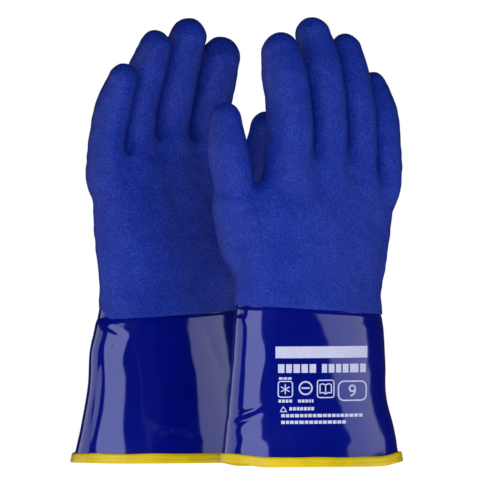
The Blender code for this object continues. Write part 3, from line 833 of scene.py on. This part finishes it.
def stitches(glove, length=2.3, gap=1.1):
    """Short rounded stitches in the binding's groove, as one mesh."""
    fine = 1440
    angle = np.arange(fine + 1) * 2 * math.pi / fine
    level = np.full(fine + 1, GROOVE_LEVEL)
    line = sleeve_ring(glove, level, angle, np.full(fine + 1, GROOVE_OUTSET)) * 1000
    run = np.concatenate([[0], np.cumsum(np.linalg.norm(np.diff(line, axis=0), axis=1))])
    number = int(run[-1] / (length + gap))
    pitch = run[-1] / number
    outward = line - np.array([*glove.origin[:2], GROOVE_LEVEL])
    outward[:, 2] = 0
    outward /= np.linalg.norm(outward, axis=1, keepdims=True)
    rings, sides = 7, 8
    points, faces = [], []
    for n in range(number):
        at = n * pitch + np.linspace(0, length, rings)
        centre = np.stack([np.interp(at, run, line[:, i]) for i in range(3)], 1)
        out = np.stack([np.interp(at, run, outward[:, i]) for i in range(3)], 1)
        share = np.sqrt(np.clip(1 - (np.linspace(-1, 1, rings) * 0.985) ** 2, 0.03, 1))
        for i in range(rings):
            for k in range(sides):
                turn = 2 * math.pi * k / sides
                points.append(centre[i] + out[i] * (0.32 * share[i] * math.cos(turn) - 0.18 * (1 - share[i]))
                              + np.array([0, 0, 0.36 * share[i] * math.sin(turn)]))
        start = n * rings * sides
        quads = tube_faces(rings, sides) + start
        faces.append(quads)
        for cap in (start + np.arange(sides)[::-1], start + (rings - 1) * sides + np.arange(sides)):
            faces.append(np.array([[cap[0], cap[i], cap[i + 1], cap[i + 2]] for i in range(1, sides - 2, 2)]))
    world = np.array(points) / 1000
    faces = np.concatenate(faces)
    return world, vertex_normals(world, faces), faces


def add_sleeve(glove):
    side = glove.side
    bodies = (side + "_gauntlet_body", side + "_hand_body")

    world, normals, faces = sleeve_skin(glove, 112, 288, 2.0, 111.4, 0.0)
    p, n, f = shell(world, normals, faces, SLEEVE_THICKNESS / 1000)
    obj = make_object(side + "_gauntlet_skin", p, f, MATERIALS["smooth_gauntlet"], n)
    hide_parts(side + "_gauntlet")
    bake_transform(obj)

    lining = sleeve_skin(glove, 40, 120, 2.1, 110.8, -SLEEVE_LINER_INSET)
    p, n, f = shell(*lining, LINER_THICKNESS / 1000)
    obj = make_object(side + "_gauntlet_liner_skin", p, f, MATERIALS["liner"], n)
    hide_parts(side + "_gauntlet_liner")
    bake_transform(obj)

    p, n, f = binding(glove)
    obj = make_object(side + "_hem_binding_roll", p, f, MATERIALS["hem_binding"], n)
    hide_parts(side + "_hem_binding")
    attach(obj, bodies[0])

    p, n, f = stitches(glove)
    obj = make_object(side + "_hem_stitches", p, f, MATERIALS["hem_thread"], n)
    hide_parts(side + "_hem_thread")
    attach(obj, bodies[0])
    return world, normals, faces


# Print on the back of each sleeve: plain marks ------------------------------------------

# the print's upper left corner, as x and z seen by the camera
PRINT_LEFT, PRINT_TOP = 25.74, 77.85
PRINT_LIFT, PRINT_THICKNESS = 0.16, 0.24    # its outer face above the sleeve, and its depth
SLEEVE_REACH = 84.0       # from the plane Y = 0 to about the front sleeve's printed face
MARK_STEP = 1.452         # the longest side of a mark's quad


class Marks:
    """Flat shapes as small quads, in millimetres right of and below the print's corner."""

    def __init__(self):
        self.points, self.faces = [], []

    def block(self, x0, y0, x1, y1):
        nx, ny = (max(1, math.ceil((b - a) / MARK_STEP)) for a, b in ((x0, x1), (y0, y1)))
        start = len(self.points)
        for j in range(ny + 1):
            for i in range(nx + 1):
                self.points.append((x0 + (x1 - x0) * i / nx, y0 + (y1 - y0) * j / ny))
        for j in range(ny):
            for i in range(nx):
                a = start + j * (nx + 1) + i
                self.faces.append((a, a + nx + 1, a + nx + 2, a + 1))

    def stroke(self, path, width, closed=False):
        path = [np.array(p, float) for p in path]
        if closed:
            path.append(path[0])
        fine = [path[0]]
        for a, b in zip(path, path[1:]):
            parts = max(1, math.ceil(np.linalg.norm(b - a) / MARK_STEP))
            fine += [a + (b - a) * (i + 1) / parts for i in range(parts)]
        if closed:
            fine = fine[:-1]
        count = len(fine)
        start = len(self.points)
        for i in range(count):
            before = fine[i - 1] if closed or i else fine[0]
            after = fine[(i + 1) % count] if closed or i < count - 1 else fine[-1]
            way = after - before
            way /= np.linalg.norm(way) + 1e-9
            across = np.array((-way[1], way[0])) * width / 2
            self.points += [tuple(fine[i] - across), tuple(fine[i] + across)]
        for i in range(count if closed else count - 1):
            a, b = start + 2 * i, start + 2 * ((i + 1) % count)
            self.faces.append((a, a + 1, b + 1, b))

    def box(self, x0, y0, x1, y1, radius, width):
        path = []
        for cx, cy, first in ((x1, y0, -90), (x1, y1, 0), (x0, y1, 90), (x0, y0, 180)):
            cx += -radius if cx == x1 else radius
            cy += -radius if cy == y1 else radius
            for k in range(5):
                turn = math.radians(first + 22.5 * k)
                path.append((cx + radius * math.cos(turn), cy + radius * math.sin(turn)))
        self.stroke(path, width, closed=True)

    def ring(self, x, y, radius, width):
        turns = [2 * math.pi * k / 28 for k in range(28)]
        self.stroke([(x + radius * math.cos(t), y + radius * math.sin(t)) for t in turns], width, True)

    def row(self, x0, x1, y0, y1, lengths, gap):
        """A row of small blocks that fills x0 to x1; the lengths are relative."""
        scale = (x1 - x0 - gap * (len(lengths) - 1)) / sum(lengths)
        for length in lengths:
            self.block(x0, y0, x0 + length * scale, y1)
            x0 += length * scale + gap


def draw_marks():
    marks = Marks()
    marks.block(0.0, 0.0, 60.7, 7.7)
    # heading
    marks.row(1.7, 26.7, 11.7, 17.4, (1.0, 0.9, 1.0, 1.0, 1.0), 1.12)
    marks.row(30.7, 59.7, 11.7, 17.4, (0.9, 1.0, 0.9, 1.0, 1.5, 1.0), 1.12)
    # cold: a box with a six-armed star
    marks.box(1.8, 23.0, 11.2, 33.4, 1.72, 0.73)
    for turn in (30, 90, 150):
        dx, dy = 3.3 * math.cos(math.radians(turn)), 3.3 * math.sin(math.radians(turn))
        marks.stroke([(6.47 - dx, 28.18 - dy), (6.47 + dx, 28.18 + dy)], 0.66)
    marks.row(2.3, 10.6, 20.3, 21.8, (1, 1, 1), 0.59)
    marks.row(2.0, 10.9, 35.0, 37.0, (1, 1, 1, 1), 0.59)
    # ring with a bar
    marks.ring(19.9, 27.5, 4.16, 0.99)
    marks.stroke([(17.2, 27.5), (22.5, 27.5)], 0.99)
    marks.row(14.9, 25.0, 35.0, 37.0, (1, 1, 1, 0.6, 0.6), 0.59)
    # open book in a box
    marks.box(27.7, 22.4, 38.6, 33.8, 1.45, 0.73)
    marks.stroke([(29.4, 25.2), (31.5, 24.7), (33.1, 25.7), (34.8, 24.7), (36.9, 25.2)], 0.73)
    marks.stroke([(29.4, 25.2), (29.4, 31.0), (31.5, 30.5), (33.1, 31.5)], 0.73)
    marks.stroke([(36.9, 25.2), (36.9, 31.0), (34.8, 30.5), (33.1, 31.5)], 0.73)
    marks.stroke([(33.1, 25.7), (33.1, 31.5)], 0.66)
    # size box with a plain numeral 9
    marks.box(41.6, 23.2, 60.0, 35.8, 3.56, 0.86)
    marks.ring(50.8, 27.9, 1.91, 0.99)
    marks.stroke([(52.7, 27.9), (52.6, 29.8), (51.7, 31.8), (49.6, 32.9)], 0.99)
    # lines of small marks after a triangle
    marks.stroke([(5.2, 39.5), (7.3, 43.0), (3.1, 43.0)], 0.59, True)
    marks.row(9.2, 25.4, 40.0, 42.2, (1, 1, 1, 1, 1, 1, 1), 0.59)
    marks.row(3.8, 57.5, 44.6, 46.7,
              (1, 1, 1, 1.2, 1, 0.8, 1, 1, 1.4, 1, 1, 1, 0.8, 1, 1, 1.2, 1, 1), 0.66)
    marks.row(3.8, 46.5, 49.0, 51.1, (1, 0.8, 1, 1, 1.2, 1, 1, 1, 0.9, 1, 1.1, 1, 1, 1), 0.66)
    return marks


def add_print(glove, sleeve, marks, ink):
    world, normals, faces = sleeve
    tree = BVHTree.FromPolygons(world.tolist(), faces.tolist())
    flat = np.array(marks.points)
    front = GLOVES[1]
    # from the plane Y = 0 to the printed face, along the camera's lines of sight
    nearer = DISTANCE / (DISTANCE - SLEEVE_REACH)
    across = EYE_X + (PRINT_LEFT + flat[:, 0] - EYE_X) / nearer - front.origin[0]
    level = EYE_Z + (PRINT_TOP - flat[:, 1] - EYE_Z) / nearer
    toward = 1.0 if glove is front else -1.0
    points, outward = [], []
    for dx, z in zip(across, level):
        start = Vector(((glove.origin[0] + toward * dx) / 1000, -toward, z / 1000))
        hit, _, face, _ = tree.ray_cast(start, Vector((0, toward, 0)))
        n = normals[faces[face]].mean(0)
        n /= np.linalg.norm(n)
        points.append(np.array(hit) + n * PRINT_LIFT / 1000)
        outward.append(n)
    p, n, f = shell(np.array(points), np.array(outward), np.array(marks.faces),
                    PRINT_THICKNESS / 1000)
    obj = make_object(glove.side + "_print", p, f, ink, n)
    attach(obj, glove.side + "_gauntlet_body")


# Build --------------------------------------------------------------------------------

def coat_thickness(local):
    return (COAT_EDGE_THICKNESS
            + (COAT_THICKNESS - COAT_EDGE_THICKNESS) * smoothstep(local[:, 2], -1.0, 9.0))


lining = hand_skin(-LINER_INSET, LINER_STEP, lambda points: points[:, 2] - 0.6)
ink = pale_print()
marks = draw_marks()

for glove in GLOVES:
    add_hand(glove, hand_skin(0.0, COAT_STEP, coat_line(glove)), "coat",
             coat_thickness, "rough_coat")
    add_hand(glove, lining, "liner", lambda p: np.full(len(p), LINER_THICKNESS), "liner")
    sleeve = add_sleeve(glove)
    add_print(glove, sleeve, marks, ink)


# Floor, light and camera ----------------------------------------------------------------


def look_at(obj, target):
    obj.rotation_euler = (Vector(target) - obj.location).to_track_quat("-Z", "Y").to_euler()


def soft_box(name, azimuth, elevation, distance, width, height, radiance,
             glossy=True, diffuse=True, aim=(0, 0, 0.12)):
    """An area light; azimuth is in degrees from the camera's side, towards +X, and sizes are in metres."""
    light = bpy.data.lights.new(name, "AREA")
    light.shape = "RECTANGLE"
    light.size, light.size_y = width, height
    light.energy = radiance * math.pi * width * height
    obj = bpy.data.objects.new(name, light)
    bpy.context.scene.collection.objects.link(obj)
    a, e = math.radians(azimuth), math.radians(elevation)
    obj.location = Vector(aim) + distance * Vector(
        (math.sin(a) * math.cos(e), -math.cos(a) * math.cos(e), math.sin(e)))
    look_at(obj, aim)
    obj.visible_camera = False
    obj.visible_glossy = glossy
    obj.visible_diffuse = diffuse
    return obj


def add_floor():
    mesh = bpy.data.meshes.new("floor")
    half = 0.62
    corners = [(-half, -half, 0), (half, -half, 0), (half, half, 0), (-half, half, 0)]
    mesh.from_pydata(corners, [], [(0, 1, 2, 3)])
    floor = bpy.data.objects.new("floor", mesh)
    bpy.context.scene.collection.objects.link(floor)
    material = bpy.data.materials.new("pale_floor")
    material.use_nodes = True
    shader = material.node_tree.nodes["Principled BSDF"]
    shader.inputs["Base Color"].default_value = (0.3, 0.3, 0.3, 1)
    shader.inputs["Roughness"].default_value = 0.9
    shader.inputs["Specular IOR Level"].default_value = 0.0
    shader.inputs["Emission Color"].default_value = (1, 1, 1, 1)
    shader.inputs["Emission Strength"].default_value = 1.0
    mesh.materials.append(material)
    floor.location.z = -0.0002
    floor.visible_glossy = False


def add_world():
    world = bpy.data.worlds.new("studio")
    bpy.context.scene.world = world
    world.use_nodes = True
    nodes, links = world.node_tree.nodes, world.node_tree.links
    white, dim = nodes["Background"], nodes.new("ShaderNodeBackground")
    white.inputs["Color"].default_value = (1, 1, 1, 1)
    dim.inputs["Color"].default_value = (0.03, 0.03, 0.033, 1)
    path, mix = nodes.new("ShaderNodeLightPath"), nodes.new("ShaderNodeMixShader")
    links.new(path.outputs["Is Camera Ray"], mix.inputs["Fac"])
    links.new(dim.outputs[0], mix.inputs[1])
    links.new(white.outputs[0], mix.inputs[2])
    links.new(mix.outputs[0], nodes["World Output"].inputs["Surface"])


def add_camera():
    camera = bpy.data.cameras.new("camera")
    camera.sensor_width = 36.0
    camera.lens = camera.sensor_width * DISTANCE / VIEW_WIDTH
    camera.clip_end = 50
    obj = bpy.data.objects.new("camera", camera)
    bpy.context.scene.collection.objects.link(obj)
    obj.location = (EYE_X / 1000, -DISTANCE / 1000, EYE_Z / 1000)
    look_at(obj, (EYE_X / 1000, 0, VIEW_MIDDLE / 1000))
    bpy.context.scene.camera = obj


add_floor()
add_world()
add_camera()
# Boxes that only the gloss shows make the sleeves' reflections; the fills light the coats.
soft_box("left_box", -19, -6.5, 1.5, 1.15, 1.1, 5.0, diffuse=False)
soft_box("edge_box", -90, -6.5, 1.5, 1.7, 1.1, 2.6, diffuse=False)
soft_box("right_box", 79, -6.5, 1.5, 1.1, 1.1, 2.6, diffuse=False)
soft_box("left_fill", -35, 12, 2.2, 1.6, 1.25, 0.9, glossy=False)
soft_box("front_fill", 6, 12, 2.2, 1.6, 1.25, 4.9, glossy=False)
soft_box("right_fill", 48, 10, 2.2, 1.6, 1.25, 0.5, glossy=False)

bpy.context.scene.view_settings.view_transform = "Standard"
